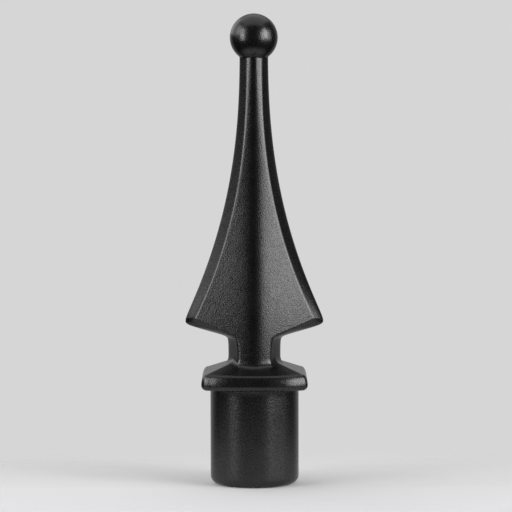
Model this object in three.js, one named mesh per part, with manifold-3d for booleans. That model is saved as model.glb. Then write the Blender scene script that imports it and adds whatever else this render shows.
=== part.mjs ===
// Fence picket finial, cast in one piece: a ball on a slender shaft that flares into a spear blade,
// a short neck, a square collar with a pyramid top, and a round plug that drives into a picket tube.
// Millimetres, +Z up. The origin is the middle of the plug's flat end, and the blade is wide along X.

import * as THREE from 'three';
import { ParametricGeometry } from 'three/addons/geometries/ParametricGeometry.js';
import { mergeVertices } from 'three/addons/utils/BufferGeometryUtils.js';
import Module from 'manifold-3d';

// Plug and collar
const PLUG_RADIUS = 11.0;
const PLUG_EDGE = 2.0; // rounding of the plug's lower edge
const COLLAR_BASE = 24.2; // height of the collar's underside, which seats on the tube's end
const RIM_HALF = 11.83; // half the square that the pyramid stands on
const RIM_OUT = 1.3; // how far the rim stands out from that square
const RIM_LOWER = 1.29; // radius of the rim below its widest line
const RIM_UPPER = 2.68; // height of the rim's long rounding above that line
const RIM_CORNER = 0.55; // corner radius of the square
const RIM_BOW = 2.2; // how far front and back stand out at their middle
const BOW_POWER = 2.6; // how late that bow turns: 2 would be an even curve
const PYRAMID_SLOPE = 0.39; // rise over run of the collar's four top faces
const PYRAMID_TOP = 0.36; // share of the square left where the pyramid ends inside the neck

// Shaft and blade, each a half size that swells downwards, then draws in to the neck
const FLARE_TOP = 106.24; // height where the shaft leaves the ball
const FLARE_LENGTH = 65.37; // from there down to the blade's tips
const WIDTH = {
  top: 3.54, draft: 0.51, flare: 13.53, power: 2.33,
  neck: 6.58, sweep: 36.75, slope: 0.263, hollow: 1.65, tip: 3.0,
};
const FLANK = {
  top: 2.03, draft: -0.94, flare: 13.91, power: 2.345,
  neck: 3.9, sweep: 37.25, slope: 0.37, hollow: 2.5, tip: 0.25,
};
const DEPTH = {
  top: 3.85, draft: 0.0, flare: 4.7, power: 1.6,
  neck: 8.2, sweep: 120.0, slope: 1.0, hollow: 0.8, tip: 1.5, // a sweep this high only levels the ridge off
};
const FLANK_SLOPE = 0.38; // how steeply each flank falls away from the middle ridge
const RIDGE_SOFTNESS = 1.6; // rounding of the ridge
const ROUND_FROM = 78.0; // height above which the shaft's section turns rounder
const ROUND_GAIN = 0.42; // how much steeper its flanks are where it meets the ball
const EDGE_SOFTNESS = 0.9; // rounding of the blade's outer edge

// Ball
const BALL_RADIUS = 5.94;
const BALL_CENTRE = 110.91;

const BLACK_POWDER_COAT = new THREE.MeshStandardMaterial({ color: 0x0b0b0c, roughness: 0.42, metalness: 0.0 });

const wasm = await Module();
wasm.setup();

// A closed geometry as a solid. Triangles that a pole has squeezed to a line are dropped.
function solid(geometry) {
  const bare = geometry.index ? geometry.clone() : geometry;
  bare.deleteAttribute('normal');
  bare.deleteAttribute('uv');
  const merged = mergeVertices(bare, 1e-5);
  const corners = merged.index.array;
  const kept = [];
  for (let i = 0; i < corners.length; i += 3) {
    const [a, b, c] = corners.slice(i, i + 3);
    if (a !== b && b !== c && c !== a) kept.push(a, b, c);
  }
  const vertProperties = new Float32Array(merged.attributes.position.array);
  return new wasm.Manifold(new wasm.Mesh({ numProp: 3, vertProperties, triVerts: new Uint32Array(kept) }));
}

// Evenly spaced values, the last one left out
function spread(from, to, count) {
  return Array.from({ length: count }, (_, i) => from + ((to - from) * i) / count);
}

// A ridge line seen end on: level in the middle, then falling at a steady slope
function crest(distance, slope, softness) {
  return slope * (Math.hypot(distance, softness) - softness);
}

// Half size of the shaft and blade at a height, for the blade's edge, its flank or its ridge
function swell(z, { top, draft, flare, power, neck, sweep, slope, hollow, tip }) {
  const down = Math.max(0, (FLARE_TOP - z) / FLARE_LENGTH);
  const upper = top + draft * down + flare * down ** power;
  const rise = (z - sweep) / slope;
  const lower = neck + (rise + Math.hypot(rise, hollow)) / 2;
  return (upper + lower - Math.hypot(upper - lower, tip)) / 2;
}

// A closed ring from its first quarter, which runs from +X to +Y: the other three are its mirror images
function ringPoint(index, count, quarterPoint) {
  const turn = Math.floor(index / count) % 4;
  const along = index % count;
  const [x, y] = quarterPoint(turn % 2 ? count - along : along);
  return [turn === 1 || turn === 2 ? -x : x, turn > 1 ? -y : y];
}

// A closed body through a stack of rings, from the lowest to the highest, each end drawn in to the axis
function stack(rings, count, ringAt) {
  const around = 4 * count;
  const rows = rings.length + 1;
  const place = (u, v, target) => {
    const row = Math.round(v * rows);
    const ring = rings[Math.min(Math.max(row - 1, 0), rings.length - 1)];
    const share = row === 0 || row === rows ? 0 : 1;
    const [x, y] = ringPoint(Math.round(u * around) % around, count, (step) => ringAt(ring, step));
    target.set(x * share, y * share, ring.z);
  };
  return new ParametricGeometry(place, around, rows);
}

// One quarter of the blade's section: up the bevel of its edge, then along the flank to the ridge
const BEVEL_SHARES = [0, 0.2, 0.5];
const FLANK_SHARES = [1, 0.55, 0.25, 0.1, 0];

function bladePoint({ z }, step) {
  const width = swell(z, WIDTH);
  const flank = swell(z, FLANK);
  const ridge = swell(z, DEPTH);
  const rounding = Math.min(1, Math.max(0, (z - ROUND_FROM) / (FLARE_TOP - ROUND_FROM)));
  const slope = FLANK_SLOPE + ROUND_GAIN * rounding ** 1.5;
  if (step >= BEVEL_SHARES.length) {
    const x = flank * FLANK_SHARES[step - BEVEL_SHARES.length];
    return [x, ridge - crest(x, slope, RIDGE_SOFTNESS)];
  }
  const edge = ridge - crest(flank, slope, RIDGE_SOFTNESS);
  const y = edge * BEVEL_SHARES[step];
  const bevel = (width - flank) / crest(edge, 1, EDGE_SOFTNESS);
  return [width - crest(y, bevel, EDGE_SOFTNESS), y];
}

function blade() {
  const levels = [
    ...spread(29.0, 33.8, 3),
    ...spread(33.8, 42.2, 22),
    ...spread(42.2, 60, 9),
    ...spread(60, 104.2, 13),
    104.2, 109.6,
  ];
  const steps = BEVEL_SHARES.length + FLANK_SHARES.length - 1;
  return stack(levels.map((z) => ({ z })), steps, bladePoint);
}

// Plan of the collar: a square with straight sides, and a front and back that bow out
const CORNER_TURNS = [0, 0.25, 0.5, 0.75];
const FRONT_SHARES = [1, 0.75, 0.5, 0.25, 0];

function collarPoint({ out, share = 1 }, step) {
  const straight = RIM_HALF - RIM_CORNER;
  const bowed = (x) => RIM_HALF - RIM_BOW * (x / straight) ** BOW_POWER;
  const lean = (x) => Math.atan2(1, ((RIM_BOW * BOW_POWER) / straight) * (x / straight) ** (BOW_POWER - 1));
  const reach = RIM_CORNER + out;
  if (step === 0) return [(RIM_HALF + out) * share, 0];
  const turn = step - 1;
  if (turn < CORNER_TURNS.length) {
    const angle = lean(straight) * CORNER_TURNS[turn];
    const middle = bowed(straight) - RIM_CORNER * Math.sin(lean(straight));
    return [(straight + reach * Math.cos(angle)) * share, (middle + reach * Math.sin(angle)) * share];
  }
  const x = straight * FRONT_SHARES[turn - CORNER_TURNS.length];
  const angle = x === 0 ? Math.PI / 2 : lean(x);
  return [(x + out * Math.cos(angle)) * share, (bowed(x) + out * Math.sin(angle)) * share];
}

function collar() {
  const middle = COLLAR_BASE + RIM_LOWER;
  const top = middle + RIM_UPPER;
  const rise = PYRAMID_SLOPE * RIM_HALF * (1 - PYRAMID_TOP);
  const lower = spread(-Math.PI / 2, 0, 4).map((angle) => ({
    out: RIM_OUT - RIM_LOWER * (1 - Math.cos(angle)), z: middle + RIM_LOWER * Math.sin(angle),
  }));
  const upper = spread(0, Math.PI / 2, 6).map((angle) => ({
    out: RIM_OUT * Math.cos(angle), z: middle + RIM_UPPER * Math.sin(angle),
  }));
  const rings = [
    ...lower,
    ...upper,
    { out: 0, z: top },
    { out: 0, z: top + rise, share: PYRAMID_TOP },
  ];
  return stack(rings, CORNER_TURNS.length + FRONT_SHARES.length, collarPoint);
}

function plug() {
  const rounding = new THREE.Path();
  rounding.absarc(PLUG_RADIUS - PLUG_EDGE, PLUG_EDGE, PLUG_EDGE, -Math.PI / 2, 0);
  const top = COLLAR_BASE + RIM_LOWER;
  const profile = [
    new THREE.Vector2(0, 0),
    ...rounding.getPoints(5),
    new THREE.Vector2(PLUG_RADIUS, top),
    new THREE.Vector2(0, top),
  ];
  return new THREE.LatheGeometry(profile, 48).rotateX(Math.PI / 2);
}

function ball() {
  return new THREE.SphereGeometry(BALL_RADIUS, 36, 22).rotateX(Math.PI / 2).translate(0, 0, BALL_CENTRE);
}

// The casting: its forms run into each other, so they are joined into one solid
function casting() {
  const forms = [plug(), collar(), blade(), ball()];
  const joined = forms.map(solid).reduce((whole, form) => whole.add(form));
  const { vertProperties, triVerts } = joined.getMesh();
  const geometry = new THREE.BufferGeometry();
  geometry.setAttribute('position', new THREE.BufferAttribute(vertProperties, 3));
  geometry.setIndex(new THREE.BufferAttribute(triVerts, 1));
  geometry.computeVertexNormals();
  return geometry;
}

const finial = new THREE.Mesh(casting(), BLACK_POWDER_COAT);
finial.name = 'finial';

const group = new THREE.Group();
group.add(finial);

export default group;
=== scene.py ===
# %% [markdown]
# # A cast fence finial
# The finial is one aluminium casting with a black powder coat. It stands on the round plug that is driven
# into a picket's tube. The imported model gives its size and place, and the cells below make the skin that
# the eye sees.

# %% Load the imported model
import math

import bmesh
import bpy
import numpy as np
from mathutils import Matrix, Vector


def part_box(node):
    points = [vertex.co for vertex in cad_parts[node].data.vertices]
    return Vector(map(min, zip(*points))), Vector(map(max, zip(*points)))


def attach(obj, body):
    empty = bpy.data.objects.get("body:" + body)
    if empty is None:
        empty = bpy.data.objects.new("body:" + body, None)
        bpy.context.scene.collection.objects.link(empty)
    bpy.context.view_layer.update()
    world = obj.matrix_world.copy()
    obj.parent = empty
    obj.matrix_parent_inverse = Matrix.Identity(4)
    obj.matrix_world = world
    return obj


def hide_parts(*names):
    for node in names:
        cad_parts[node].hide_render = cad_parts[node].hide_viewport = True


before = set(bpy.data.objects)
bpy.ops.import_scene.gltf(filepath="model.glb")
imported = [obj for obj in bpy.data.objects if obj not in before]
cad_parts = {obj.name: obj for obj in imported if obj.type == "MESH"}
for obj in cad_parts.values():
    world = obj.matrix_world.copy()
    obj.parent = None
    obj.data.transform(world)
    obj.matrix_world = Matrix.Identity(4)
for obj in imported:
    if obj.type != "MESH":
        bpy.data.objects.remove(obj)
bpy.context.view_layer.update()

MM = 0.001
low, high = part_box("finial")
part_size = [round((b - a) / MM, 2) for a, b in zip(low, high)]
print("the casting in mm:", part_size)

# %% [markdown]
# ## The sizes
# A casting has no sharp corners, because metal doesn't fill them and the coat rounds them more. So every
# edge that catches the light in a thin line has a rounding of its own here. The ball's top and the foot
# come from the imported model, and the rest are the sizes that it was made to.

# %% Sizes in millimetres
FOOT = low.z / MM
TOP = high.z / MM

PLUG_RADIUS = 11.0
PLUG_LENGTH = 24.2
PLUG_EDGE = 2.0  # rounding of the plug's lower edge
COLLAR_BASE = FOOT + PLUG_LENGTH
SHOULDER_FILLET = 0.12  # where the plug meets the collar's underside

RIM_HALF = 11.83  # half the square that the pyramid stands on
RIM_OUT = 1.3  # how far the rim stands out from that square
RIM_LOWER = 1.29  # radius of the rim below its widest line
RIM_UPPER = 2.68  # height of the rim's long rounding above that line
RIM_CORNER = 0.55
RIM_BOW = 2.2  # how far front and back stand out at their middle
BOW_POWER = 2.6  # how late that bow turns: 2 would be an even curve
PYRAMID_SLOPE = 0.39  # rise over run
NECK_FILLET = 1.7  # where the neck meets the pyramid

FLARE_TOP = 106.24  # height where the shaft leaves the ball
FLARE_LENGTH = 65.37  # from there down to the blade's tips
WIDTH = dict(
    top=3.54, draft=0.51, flare=13.53, power=2.33,
    neck=6.58, sweep=36.75, slope=0.263, hollow=1.65, tip=3.0,
)
FLANK = dict(
    top=2.03, draft=-0.94, flare=13.91, power=2.345,
    neck=3.9, sweep=37.25, slope=0.37, hollow=2.5, tip=0.25,
)
DEPTH = dict(
    top=3.85, draft=0.0, flare=4.7, power=1.6,
    neck=8.2, sweep=120.0, slope=1.0, hollow=0.8, tip=1.5,
)
FLANK_SLOPE = 0.38  # how steeply each flank falls away from the ridge
ROUND_FROM = 78.0  # height above which the shaft's section turns rounder
ROUND_GAIN = 0.42  # how much steeper its flanks are where it meets the ball
ROUND_POWER = 1.5  # how late that change comes
RIDGE_SOFTNESS = 1.6
EDGE_SOFTNESS = 0.9  # rounding of the blade's outer edge
FLANK_EDGE = 0.4  # rounding where flank meets bevel

BALL_RADIUS = 5.94
BALL_CENTRE = TOP - BALL_RADIUS
BALL_FILLET = 0.35  # where the shaft meets the ball

# %% [markdown]
# ## Curves that the casting is made of
# The blade's outline and the line where its flank meets the bevelled edge do the same thing: they swell
# downwards from the shaft, turn a corner at the tip, and sweep into the neck. The middle ridge swells
# too, but then only levels off, so it runs straight on down the neck. One function with three sets of
# numbers draws all of them, which keeps them in step where they meet. A hyperbola makes each soft turn,
# because it has no joint that a highlight could break on.

# %% Crest and swell
def crest(distance, slope, softness):
    """Drop beside a ridge: level in the middle, then falling at a steady slope."""
    return slope * (np.hypot(distance, softness) - softness)


def swell(z, top, draft, flare, power, neck, sweep, slope, hollow, tip):
    """Half size of the shaft and blade at height z.

    top, draft, flare and power draw the swell down from the shaft. neck, sweep, slope and hollow draw the
    curve up out of the neck, and tip is how softly the two meet.
    """
    down = np.maximum(0.0, (FLARE_TOP - z) / FLARE_LENGTH)
    upper = top + draft * down + flare * down**power
    rise = (z - sweep) / slope
    lower = neck + (rise + np.hypot(rise, hollow)) / 2
    return (upper + lower - np.hypot(upper - lower, tip)) / 2


near_tips = np.linspace(36, 46, 400)
span = 2 * float(np.max(swell(near_tips, **WIDTH)))
print("blade tips in mm:", round(span, 2), "apart")

# %% [markdown]
# ## One quarter of the blade's section
# The section has a soft ridge in the middle of front and back, and a bevel down each edge. All four
# quarters are mirror images, so one quarter is enough. It is written as a path with a parameter from 0 at
# the outer edge to 1 where the bevel meets the flank, and on to 2 at the ridge. The corner at 1 is
# rounded by blending the two lines there, which draws the thin bright line down each side of the blade.
# Towards the ball the flanks fall away more steeply, which makes the shaft rounder there.

# %% Blade section
NECK_LEVEL = 31.5  # a height on the neck
BLEND_LIMIT = 0.3  # the largest share of a line that the rounding may take


def flank_slope(z):
    """How steeply the flanks fall at height z."""
    rounder = np.clip((z - ROUND_FROM) / (FLARE_TOP - ROUND_FROM), 0, 1) ** ROUND_POWER
    return FLANK_SLOPE + ROUND_GAIN * rounder


def bend(start, corner, end, t):
    """Point at t, from 0 to 1, on a short curve from start to end that is pulled towards corner."""
    return start * (1 - t) ** 2 + corner * 2 * t * (1 - t) + end * t**2


def blade_section(z, u):
    """Point of the section's first quarter at height z, for a place u from 0 to 2."""
    width, flank, ridge = swell(z, **WIDTH), swell(z, **FLANK), swell(z, **DEPTH)
    slope = flank_slope(z)
    edge = ridge - crest(flank, slope, RIDGE_SOFTNESS)
    bevel = (width - flank) / crest(edge, 1.0, EDGE_SOFTNESS)

    def bevel_at(share):
        y = edge * share
        return np.array([width - crest(y, bevel, EDGE_SOFTNESS), y])

    def flank_at(share):
        x = flank * share
        return np.array([x, ridge - crest(x, slope, RIDGE_SOFTNESS)])

    blend_bevel = min(BLEND_LIMIT, FLANK_EDGE / np.hypot(width - flank, edge))
    blend_flank = min(BLEND_LIMIT, FLANK_EDGE / flank)
    if u <= 1 - blend_bevel:
        return bevel_at(u)
    if u >= 1 + blend_flank:
        return flank_at(2 - u)
    t = (u - 1 + blend_bevel) / (blend_bevel + blend_flank)
    return bend(bevel_at(1 - blend_bevel), bevel_at(1.0), flank_at(1 - blend_flank), t)


neck_section = [blade_section(NECK_LEVEL, u).round(2).tolist() for u in (0, 1, 2)]
print("section at the neck in mm:", neck_section)

# %% [markdown]
# ## The collar's plan
# The pyramid stands on a square whose sides are straight and whose front and back bow out. The bow hardly
# turns in the middle and turns faster towards the corners. This plan is also written as one quarter, with
# a parameter: 0 to 1 up the straight side, 1 to 2 round the corner, and 2 to 3 along the bowed front.
# Each place has an outward direction too, and the rim is swept along it.

# %% Collar plan
STRAIGHT = RIM_HALF - RIM_CORNER


def front_line(x):
    """How far out the bowed front lies, at x from the middle."""
    return RIM_HALF - RIM_BOW * (x / STRAIGHT) ** BOW_POWER


def front_lean(x):
    """The outward direction there, in radians from the x axis."""
    return math.atan2(1.0, RIM_BOW * BOW_POWER / STRAIGHT * (x / STRAIGHT) ** (BOW_POWER - 1))


def collar_plan(t):
    """x, y and outward angle on the collar's first quarter, for a place t from 0 to 3."""
    lean = front_lean(STRAIGHT)
    middle = front_line(STRAIGHT) - RIM_CORNER * math.sin(lean)
    if t <= 1:
        return RIM_HALF, middle * t, 0.0
    if t <= 2:
        angle = lean * (t - 1)
        return STRAIGHT + RIM_CORNER * math.cos(angle), middle + RIM_CORNER * math.sin(angle), angle
    x = STRAIGHT * (3 - t)
    return x, front_line(x), front_lean(x)


print("collar over the rim in mm:", 2 * (RIM_HALF + RIM_OUT))

# %% [markdown]
# ## Stations round the casting
# The skin is one closed grid: rings stacked from the foot to the ball, with the same number of points in
# each. A boolean union would be quicker to write, but it leaves slivers along every seam, and they break
# the highlights. With a grid, each join gets a real fillet. The points of every ring sit at the same
# stations, and a station is a direction from the axis. They crowd together at the blade's outer edge, the
# collar's corner, the flank's edge and the ridge.

# %% Stations
SAMPLES = 2000  # for each unit of a place on the plan or the section
# Where stations lie along the straight side, from the x axis to its corner
SIDE_SHARES = [0, 0.034, 0.068, 0.11, 0.17, 0.24, 0.32, 0.42, 0.54, 0.67, 0.8, 0.92]
CORNER_STEPS = 10
BEVEL_STEPS = 5
EDGE_PLACES = [0.88, 0.91, 0.94, 0.965, 0.985, 1.0, 1.012, 1.025, 1.045, 1.07]
FLANK_START = 1.1  # the first place on the flank beyond those of its edge
FLANK_STEPS = 18
FLANK_CROWDING = 1.7  # above 1 it draws the flank's stations towards the ridge


def turn_of(point):
    """Direction of a point from the axis, in degrees."""
    return math.degrees(math.atan2(point[1], point[0]))


plan_places = np.linspace(0, 3, 3 * SAMPLES + 1)
plan_turns = np.array([turn_of(collar_plan(t)) for t in plan_places])
section_places = np.linspace(0, 2, 2 * SAMPLES + 1)
section_turns = np.array([turn_of(blade_section(NECK_LEVEL, u)) for u in section_places])

corner_turns = [turn_of(collar_plan(1 + i / CORNER_STEPS)) for i in range(CORNER_STEPS + 1)]
flank_shares = [(i / FLANK_STEPS) ** FLANK_CROWDING for i in range(FLANK_STEPS - 1, -1, -1)]
upper_places = [*EDGE_PLACES, *(2 - share for share in flank_shares if 2 - share > FLANK_START)]
upper_turns = [float(np.interp(u, section_places, section_turns)) for u in upper_places]
side_turns = [share * corner_turns[0] for share in SIDE_SHARES]
bevel_turns = np.linspace(corner_turns[-1], upper_turns[0], BEVEL_STEPS + 1)[1:-1]

turns = np.array([*side_turns, *corner_turns, *bevel_turns, *upper_turns])
turns[-1] = 90.0
assert np.all(np.diff(turns) > 0), "stations are out of order"
print(len(turns), "stations in a quarter,", 4 * (len(turns) - 1), "points in a ring")

# %% [markdown]
# Each station also has a place on the blade's section and one on the collar's plan. The last one lies on
# the ridge, so its x is set to nought: the mirrored quarters then meet without a gap.

# %% What each station has
places = np.interp(turns, section_turns, section_places)
places[-1] = 2.0
plan = np.array([collar_plan(t) for t in np.interp(turns, plan_turns, plan_places)])
plan[-1, 0] = 0.0
plan_point, plan_angle = plan[:, :2], plan[:, 2]
plan_out = np.stack([np.cos(plan_angle), np.sin(plan_angle)], axis=1)
plan_reach = np.linalg.norm(plan_point, axis=1)
heading = np.stack([np.cos(np.radians(turns)), np.sin(np.radians(turns))], axis=1)
heading[-1, 0] = 0.0
print("collar's corner at", round(float(plan_reach.max()), 2), "mm from the axis, without the rim")

# %% [markdown]
# ## Rings of the plug and the collar
# The plug is a plain round bar with a rounded lower edge. The rim above it has a tight rounding below its
# widest line and a long, leaning one above it, and the collar's top is a low pyramid. Each ring is one
# quarter, as rows of x, y and z.

# %% Plug and collar rings
RIM_MIDDLE = COLLAR_BASE + RIM_LOWER
RIM_TOP = RIM_MIDDLE + RIM_UPPER
PYRAMID_RISE = PYRAMID_SLOPE * RIM_HALF
FLAT_SHARES = (0.3, 0.6, 0.85)  # where rings lie on the plug's end and the collar's underside
PLUG_EDGE_STEPS = 8
PLUG_STEPS = 15
SHOULDER_STEPS = 3
RIM_LOWER_STEPS = 12
RIM_UPPER_STEPS = 18


def ring(points, z):
    """A quarter ring from its plan points and a height, or a height for each point."""
    return np.column_stack([points, np.broadcast_to(z, len(points))])


def arc(start, end, steps):
    """Angles in radians from two in degrees, both ends left in."""
    return np.radians(np.linspace(start, end, steps + 1))


def plug_rings():
    """Rings from the plug's end up to the collar's underside."""
    flat = PLUG_RADIUS - PLUG_EDGE
    rings = [ring(heading * flat * share, FOOT) for share in FLAT_SHARES]
    for a in arc(-90, 0, PLUG_EDGE_STEPS):
        reach = flat + PLUG_EDGE * math.cos(a)
        rings.append(ring(heading * reach, FOOT + PLUG_EDGE * (1 + math.sin(a))))
    top = COLLAR_BASE - SHOULDER_FILLET
    for z in np.linspace(FOOT + PLUG_EDGE, top, PLUG_STEPS + 1)[1:]:
        rings.append(ring(heading * PLUG_RADIUS, z))
    for a in arc(180, 90, SHOULDER_STEPS)[1:]:
        reach = PLUG_RADIUS + SHOULDER_FILLET * (1 + math.cos(a))
        rings.append(ring(heading * reach, top + SHOULDER_FILLET * math.sin(a)))
    return rings


def collar_rings():
    """Rings out along the underside and up round the rim."""
    shoulder = heading * (PLUG_RADIUS + SHOULDER_FILLET)
    edge = plan_point + plan_out * (RIM_OUT - RIM_LOWER)
    rings = [ring(shoulder * (1 - s) + edge * s, COLLAR_BASE) for s in FLAT_SHARES]
    for a in arc(-90, 0, RIM_LOWER_STEPS):
        points = edge + plan_out * RIM_LOWER * math.cos(a)
        rings.append(ring(points, RIM_MIDDLE + RIM_LOWER * math.sin(a)))
    for a in arc(0, 90, RIM_UPPER_STEPS)[1:]:
        points = plan_point + plan_out * RIM_OUT * math.cos(a)
        rings.append(ring(points, RIM_MIDDLE + RIM_UPPER * math.sin(a)))
    return rings


# %% [markdown]
# ## Where the neck meets the pyramid, and the shaft meets the ball
# Both joins are found station by station: the height where the blade's side runs into the other form. A
# casting has a fillet there, which shows as a small bright curve round the foot of the neck. The fillet
# is a short curve from a point on one form to a point on the other, pulled towards the corner between
# them.

# %% Joins with fillets
SETTLING_ROUNDS = 6
PYRAMID_SHARES = (0.04, 0.1, 0.2, 0.35, 0.5, 0.65, 0.8, 0.92)  # where rings lie from rim to fillet
NECK_FILLET_STEPS = 8
BALL_FILLET_STEPS = 6
BALL_STEPS = 43


def blade_points(z):
    """The blade's section at all stations, for one height or a height for each station."""
    heights = np.broadcast_to(z, len(places))
    points = np.array([blade_section(h, u) for h, u in zip(heights, places)])
    points[-1, 0] = 0.0
    points[0, 1] = 0.0
    return points


def pyramid_height(share):
    """Height of the pyramid's face at a share of the way from the axis to the square's edge."""
    return RIM_TOP + PYRAMID_RISE * (1 - share)


def sphere_ring(points, latitude):
    """Points on the ball in the directions of the given points, at a latitude for each."""
    around = points / np.linalg.norm(points, axis=1)[:, None]
    level = BALL_RADIUS * np.cos(latitude)
    return np.column_stack([around * level[:, None], BALL_CENTRE + BALL_RADIUS * np.sin(latitude)])


def fillet(start, corner, end, steps):
    """Rings along the short curve from start to end, pulled towards corner."""
    return [bend(start, corner, end, t) for t in np.linspace(0, 1, steps + 1)]


def neck_foot():
    """Rings from the rim's inner edge to the top of the neck's fillet, and the heights where they end."""
    height = np.full(len(places), NECK_LEVEL)
    for _ in range(SETTLING_ROUNDS):
        points = blade_points(height)
        height = pyramid_height(np.linalg.norm(points, axis=1) / plan_reach)
    reach = np.linalg.norm(points, axis=1)
    run = NECK_FILLET * np.cos(np.arctan(PYRAMID_RISE / plan_reach))
    outer = (reach + run) / plan_reach
    rings = []
    for s in PYRAMID_SHARES:
        share = 1 + (outer - 1) * s
        rings.append(ring(plan_point * share[:, None], pyramid_height(share)))
    start = ring(plan_point * outer[:, None], pyramid_height(outer))
    top = height + NECK_FILLET
    end = ring(blade_points(top), top)
    return rings + fillet(start, ring(points, height), end, NECK_FILLET_STEPS), top


def ball_foot():
    """Rings round the fillet and over the ball to near its top, and the heights where they start."""
    points = blade_points(FLARE_TOP)
    latitude = -np.arccos(np.linalg.norm(points, axis=1) / BALL_RADIUS)
    height = BALL_CENTRE + BALL_RADIUS * np.sin(latitude)
    start = ring(points, height - BALL_FILLET)
    upper = latitude + BALL_FILLET / BALL_RADIUS
    rings = fillet(start, ring(points, height), sphere_ring(points, upper), BALL_FILLET_STEPS)
    for s in np.linspace(0, 1, BALL_STEPS + 1)[1:-1]:
        rings.append(sphere_ring(points, upper + (math.pi / 2 - upper) * s))
    return rings, height - BALL_FILLET


# %% [markdown]
# ## All the rings, and the mesh
# The blade's rings are close together where its underside sweeps out to the tips, because the outline
# runs almost level there, and further apart up the shaft. The quarter rings are mirrored into whole ones,
# and each pair of neighbours is bridged with four-sided faces. One point closes the foot and one the top
# of the ball.

# %% Stack the rings
NECK_TOP = 33.4
NECK_STEPS = 7
TIP_TOP = 43.0
TIP_SPACING = 0.2
SHAFT_TOP = 104.0
SHAFT_STEPS = 61
HEAD_STEPS = 4


def all_rings():
    """Every quarter ring, from the foot to the ball."""
    foot, neck_start = neck_foot()
    head, shaft_end = ball_foot()
    rings = plug_rings() + collar_rings() + foot
    for s in np.linspace(0, 1, NECK_STEPS + 1)[1:]:
        height = neck_start + (NECK_TOP - neck_start) * s
        rings.append(ring(blade_points(height), height))
    for z in np.arange(NECK_TOP + TIP_SPACING, TIP_TOP, TIP_SPACING):
        rings.append(ring(blade_points(z), z))
    for z in np.linspace(TIP_TOP, SHAFT_TOP, SHAFT_STEPS + 1):
        rings.append(ring(blade_points(z), z))
    for s in np.linspace(0, 1, HEAD_STEPS + 1)[1:-1]:
        height = SHAFT_TOP + (shaft_end - SHAFT_TOP) * s
        rings.append(ring(blade_points(height), height))
    return rings + head


def whole(quarter):
    """The full ring from its first quarter."""
    back = quarter[:0:-1]
    front = quarter[:-1]
    return np.vstack([front, back * (-1, 1, 1), front * (-1, -1, 1), back * (1, -1, 1)])


def casting_mesh():
    """The closed skin in metres, with smooth shading."""
    rings = [whole(quarter) for quarter in all_rings()]
    around = len(rings[0])
    points = np.vstack(rings + [[(0, 0, FOOT)], [(0, 0, TOP)]]) * MM
    bottom, top = len(points) - 2, len(points) - 1
    faces = []
    for i in range(len(rings) - 1):
        for j in range(around):
            k = (j + 1) % around
            here, above = i * around, (i + 1) * around
            faces.append((here + j, here + k, above + k, above + j))
    last = (len(rings) - 1) * around
    for j in range(around):
        k = (j + 1) % around
        faces.append((bottom, k, j))
        faces.append((top, last + j, last + k))
    mesh = bpy.data.meshes.new("finial_casting")
    mesh.from_pydata(points.tolist(), [], faces)
    mesh.validate()
    mesh.shade_smooth()
    return mesh


casting = bpy.data.objects.new("finial_casting", casting_mesh())
bpy.context.scene.collection.objects.link(casting)
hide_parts("finial")
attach(casting, "root")

# %% Measure the skin
skin = bmesh.new()
skin.from_mesh(casting.data)
open_edges = sum(not edge.is_manifold for edge in skin.edges)
volume = round(skin.calc_volume() / MM**3)
skin.free()
print(len(casting.data.polygons), "faces,", open_edges, "open edges, volume in mm3:", volume)

# %% [markdown]
# ## The powder coat
# Powder coat is a plastic skin that has melted over the metal. It is black and satin, it has a fine
# pebble of its own, and the cast surface below it adds slow, shallow unevenness. Both are heights on the
# same surface, so one group makes them. The group is given the size of each in millimetres. It puts out
# their sum as a height for the bump, the pebble alone as a grain for the gloss, and the unevenness alone
# as a mask for the colour.

# %% Group: pebbled coat
PEBBLE_SIZE = 0.33
SWELL_SIZE = 3.0
NOISE_DETAIL = 1.0


def new_group(name, inputs, outputs):
    """An empty shader group with the given sockets."""
    group = bpy.data.node_groups.new(name, "ShaderNodeTree")
    for label, kind, value in inputs:
        socket = group.interface.new_socket(name=label, in_out="INPUT", socket_type=kind)
        if value is not None:
            socket.default_value = value
    for label, kind in outputs:
        group.interface.new_socket(name=label, in_out="OUTPUT", socket_type=kind)
    return group


def math_node(tree, operation, first, second):
    """One step of arithmetic on two values, each a number or another node's output."""
    node = tree.nodes.new("ShaderNodeMath")
    node.operation = operation
    for socket, value in zip(node.inputs, (first, second)):
        if isinstance(value, (int, float)):
            socket.default_value = value
        else:
            tree.links.new(value, socket)
    return node.outputs[0]


def noise(tree, vector, size):
    """Noise whose lumps are about as big as size, in millimetres."""
    node = tree.nodes.new("ShaderNodeTexNoise")
    tree.links.new(vector, node.inputs["Vector"])
    tree.links.new(math_node(tree, "DIVIDE", 1 / MM, size), node.inputs["Scale"])
    node.inputs["Detail"].default_value = NOISE_DETAIL
    return node.outputs["Fac"]


def pebble_group():
    """Height, grain and mask of a coated cast surface."""
    group = new_group(
        "pebbled_coat",
        [
            ("Vector", "NodeSocketVector", None),
            ("Pebble", "NodeSocketFloat", PEBBLE_SIZE),
            ("Swell", "NodeSocketFloat", SWELL_SIZE),
        ],
        [("Height", "NodeSocketFloat"), ("Grain", "NodeSocketFloat"), ("Mask", "NodeSocketFloat")],
    )
    inner = group.nodes.new("NodeGroupInput")
    outer = group.nodes.new("NodeGroupOutput")
    fine = noise(group, inner.outputs["Vector"], inner.outputs["Pebble"])
    slow = noise(group, inner.outputs["Vector"], inner.outputs["Swell"])
    group.links.new(math_node(group, "ADD", fine, slow), outer.inputs["Height"])
    group.links.new(fine, outer.inputs["Grain"])
    group.links.new(slow, outer.inputs["Mask"])
    return group


PEBBLED_COAT = pebble_group()
print("group:", PEBBLED_COAT.name)

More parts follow.
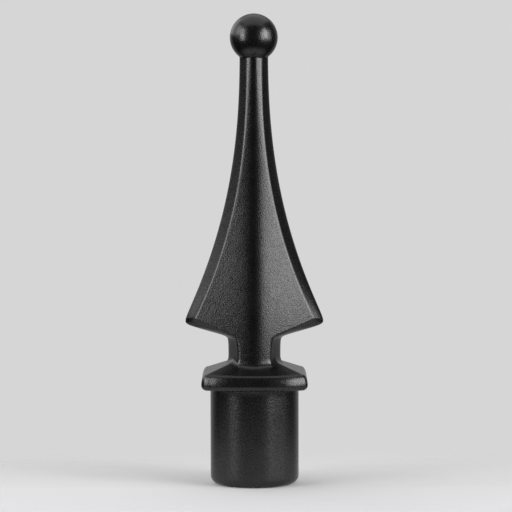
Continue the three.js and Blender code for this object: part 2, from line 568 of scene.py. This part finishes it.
# %% [markdown]
# ## The material
# The colour hardly varies, so the finish is carried by the gloss. The roughness follows the fine pebble,
# and the bump breaks the reflections into the speckle that a coated casting shows close up. The colour
# follows the slow unevenness.

# %% Material: black powder coat
COAT_DARK = (0.0032, 0.0033, 0.0036, 1)
COAT_LIGHT = (0.005, 0.0052, 0.0056, 1)
COAT_ROUGHNESS = (0.33, 0.21)  # in the pebble's hollows and on its tops
PEBBLE_DEPTH = 0.024  # in millimetres
NOISE_RANGE = (0.3, 0.7)  # where nearly all of a noise's values lie


def ranged(tree, value, given, wanted):
    """A value moved from one range to another, and held inside it."""
    node = tree.nodes.new("ShaderNodeMapRange")
    tree.links.new(value, node.inputs["Value"])
    for label, number in zip(("From Min", "From Max", "To Min", "To Max"), (*given, *wanted)):
        node.inputs[label].default_value = number
    return node.outputs["Result"]


def coat_colour(tree, mask):
    """Black that turns a little lighter with the mask. A colour mix has its sockets at 6, 7 and 2."""
    colour = tree.nodes.new("ShaderNodeMix")
    colour.data_type = "RGBA"
    colour.inputs[6].default_value = COAT_DARK
    colour.inputs[7].default_value = COAT_LIGHT
    tree.links.new(ranged(tree, mask, NOISE_RANGE, (0, 1)), colour.inputs[0])
    return colour.outputs[2]


def powder_coat():
    """The finial's one material."""
    material = bpy.data.materials.new("satin_powder_coat")
    material.use_nodes = True
    tree = material.node_tree
    shader = tree.nodes["Principled BSDF"]
    coat = tree.nodes.new("ShaderNodeGroup")
    coat.node_tree = PEBBLED_COAT
    tree.links.new(tree.nodes.new("ShaderNodeTexCoord").outputs["Object"], coat.inputs["Vector"])
    coat.inputs["Pebble"].default_value = PEBBLE_SIZE
    coat.inputs["Swell"].default_value = SWELL_SIZE

    tree.links.new(coat_colour(tree, coat.outputs["Mask"]), shader.inputs["Base Color"])
    gloss = ranged(tree, coat.outputs["Grain"], NOISE_RANGE, COAT_ROUGHNESS)
    tree.links.new(gloss, shader.inputs["Roughness"])

    bump = tree.nodes.new("ShaderNodeBump")
    bump.inputs["Distance"].default_value = PEBBLE_DEPTH * MM
    tree.links.new(coat.outputs["Height"], bump.inputs["Height"])
    tree.links.new(bump.outputs["Normal"], shader.inputs["Normal"])
    return material


casting.data.materials.append(powder_coat())
print("material:", casting.data.materials[0].name)

# %% [markdown]
# ## Floor
# The floor is a pale sheet. A photographer sweeps such a sheet up behind the object, so that its far edge
# doesn't show. Here it stays a flat disc, and a mix with a transparent shader fades it out behind the
# finial and all round it, into the plain grey of the background.

# %% Floor
PALE = 0.672  # the background's grey
FLOOR_COLOUR = (0.64, 0.64, 0.65, 1)
FLOOR_ROUGHNESS = 0.8
FLOOR_RADIUS = 0.6  # in metres, as the two fades are
FLOOR_SEGMENTS = 96
FADE_BEHIND = (-0.01, 0.06)  # from just in front of the axis to well behind it
FADE_AROUND = (0.07, 0.11)  # distance from the axis


def floor_material():
    """A pale sheet that is clear where it has faded."""
    material = bpy.data.materials.new("pale_sheet")
    material.use_nodes = True
    tree = material.node_tree
    shader = tree.nodes["Principled BSDF"]
    shader.inputs["Base Color"].default_value = FLOOR_COLOUR
    shader.inputs["Roughness"].default_value = FLOOR_ROUGHNESS
    place = tree.nodes.new("ShaderNodeTexCoord").outputs["Object"]
    split = tree.nodes.new("ShaderNodeSeparateXYZ")
    tree.links.new(place, split.inputs[0])
    reach = tree.nodes.new("ShaderNodeVectorMath")
    reach.operation = "LENGTH"
    tree.links.new(place, reach.inputs[0])
    near = ranged(tree, split.outputs["Y"], FADE_BEHIND, (1, 0))
    inside = ranged(tree, reach.outputs["Value"], FADE_AROUND, (1, 0))
    clear = tree.nodes.new("ShaderNodeBsdfTransparent")
    blend = tree.nodes.new("ShaderNodeMixShader")
    tree.links.new(math_node(tree, "MULTIPLY", near, inside), blend.inputs[0])
    tree.links.new(clear.outputs[0], blend.inputs[1])
    tree.links.new(shader.outputs[0], blend.inputs[2])
    tree.links.new(blend.outputs[0], tree.nodes["Material Output"].inputs["Surface"])
    return material


def pale_floor():
    """A flat disc at the height of the finial's foot."""
    mesh = bpy.data.meshes.new("pale_floor")
    shape = bmesh.new()
    bmesh.ops.create_circle(shape, cap_ends=True, segments=FLOOR_SEGMENTS, radius=FLOOR_RADIUS)
    shape.to_mesh(mesh)
    shape.free()
    floor = bpy.data.objects.new("pale_floor", mesh)
    mesh.materials.append(floor_material())
    bpy.context.scene.collection.objects.link(floor)
    return floor


pale_floor()

# %% [markdown]
# ## Surroundings
# Black gloss shows what is round it more than it shows itself, so the room matters as much as the lamps.
# It is black in front, as behind a camera in a dark room, and grey only well behind, where it lights the
# bevels at a grazing angle. The camera itself sees one plain grey in every direction.

# %% Surroundings
ROOM_DARK = 0.0
ROOM_PALE = 0.5
ROOM_TURN = (0.5, 0.95)  # how far back a direction points where the room starts to pale, and where it stops


def surroundings():
    """The world, with a plain mix whose sockets 2 and 3 are its two values."""
    world = bpy.data.worlds.new("studio")
    world.use_nodes = True
    tree = world.node_tree
    back = tree.nodes["Background"]
    split = tree.nodes.new("ShaderNodeSeparateXYZ")
    tree.links.new(tree.nodes.new("ShaderNodeTexCoord").outputs["Generated"], split.inputs[0])
    behind = ranged(tree, split.outputs["Y"], ROOM_TURN, (ROOM_DARK, ROOM_PALE))
    seen = tree.nodes.new("ShaderNodeLightPath").outputs["Is Camera Ray"]
    shade = tree.nodes.new("ShaderNodeMix")
    tree.links.new(seen, shade.inputs[0])
    tree.links.new(behind, shade.inputs[2])
    shade.inputs[3].default_value = PALE
    tree.links.new(shade.outputs[0], back.inputs["Color"])
    bpy.context.scene.world = world


surroundings()

# %% [markdown]
# ## Lamps
# On black gloss each lamp shows as a highlight of its own shape, so all of them are soft boxes. Three
# stand on the right and three on the left, at different heights and widths. Together they give the two
# highlights on the ball, the band on each flank and the bands down the plug, and the right side has more
# power, because the right flank is the brighter one. One wide box behind on the left lights the far edge,
# and one hangs above. Each row of the table holds a turn from the front and a lift above the level in
# degrees, a width and height in metres, and a power in watts.

# %% Soft boxes
AIM_HEIGHT = 0.095
BOX_DISTANCE = 0.60
SOFT_BOXES = {
    "right_high": (60, 17, (0.14, 0.42), 2.3),
    "right_near": (43, 9, (0.13, 0.36), 1.35),
    "right_wide": (76, 10, (0.26, 0.36), 1.1),
    "left_high": (-57, 23, (0.20, 0.28), 1.0),
    "left_wide": (-80, 28, (0.34, 0.34), 0.9),
    "left_low": (-56, 3, (0.20, 0.23), 1.05),
    "behind_left": (-114, 25, (0.9, 0.36), 1.25),
    "above": (180, 80, (0.9, 0.9), 2.5),
}


def soft_box(name, turn, lift, size, power):
    """An area lamp that the camera can't see, aimed at the upper half of the part."""
    lamp = bpy.data.lights.new(name, "AREA")
    lamp.shape = "RECTANGLE"
    lamp.size, lamp.size_y = size
    lamp.energy = power
    a, b = math.radians(turn), math.radians(lift)
    away = Vector((math.sin(a) * math.cos(b), -math.cos(a) * math.cos(b), math.sin(b)))
    box = bpy.data.objects.new(name, lamp)
    box.location = Vector((0, 0, AIM_HEIGHT)) + away * BOX_DISTANCE
    box.rotation_euler = away.to_track_quat("Z", "Y").to_euler()
    box.visible_camera = False
    bpy.context.scene.collection.objects.link(box)


for box_name, row in SOFT_BOXES.items():
    soft_box(box_name, *row)
power_in_all = sum(power for *_, power in SOFT_BOXES.values())
print(len(SOFT_BOXES), "soft boxes,", round(power_in_all, 2), "W in all")

# %% [markdown]
# ## Camera
# The photograph was taken from about two thirds of a metre with a long lens. The eye is 104 mm up, just
# below the ball, and looks down by 4 degrees. So the pyramid's top shows, and the plug's foot is a
# shallow curve.

# %% Camera
FRAME_WIDTH = 512
SENSOR_WIDTH = 36
VIEW_DISTANCE = 0.679
EYE_HEIGHT = 0.1042
FOCAL_PIXELS = 2737.3
LOOK_DOWN = 3.998
LOOK_RIGHT = 0.037
ROLL = -0.117

camera_data = bpy.data.cameras.new("camera")
camera_data.sensor_width = SENSOR_WIDTH
camera_data.lens = FOCAL_PIXELS / FRAME_WIDTH * SENSOR_WIDTH
camera = bpy.data.objects.new("camera", camera_data)
camera.matrix_world = (
    Matrix.Translation((0, -VIEW_DISTANCE, EYE_HEIGHT))
    @ Matrix.Rotation(math.radians(-LOOK_RIGHT), 4, "Z")
    @ Matrix.Rotation(math.radians(90 - LOOK_DOWN), 4, "X")
    @ Matrix.Rotation(math.radians(ROLL), 4, "Z")
)
bpy.context.scene.collection.objects.link(camera)
bpy.context.scene.camera = camera
bpy.context.scene.view_settings.view_transform = "Standard"
print("lens in mm:", round(camera_data.lens, 1))
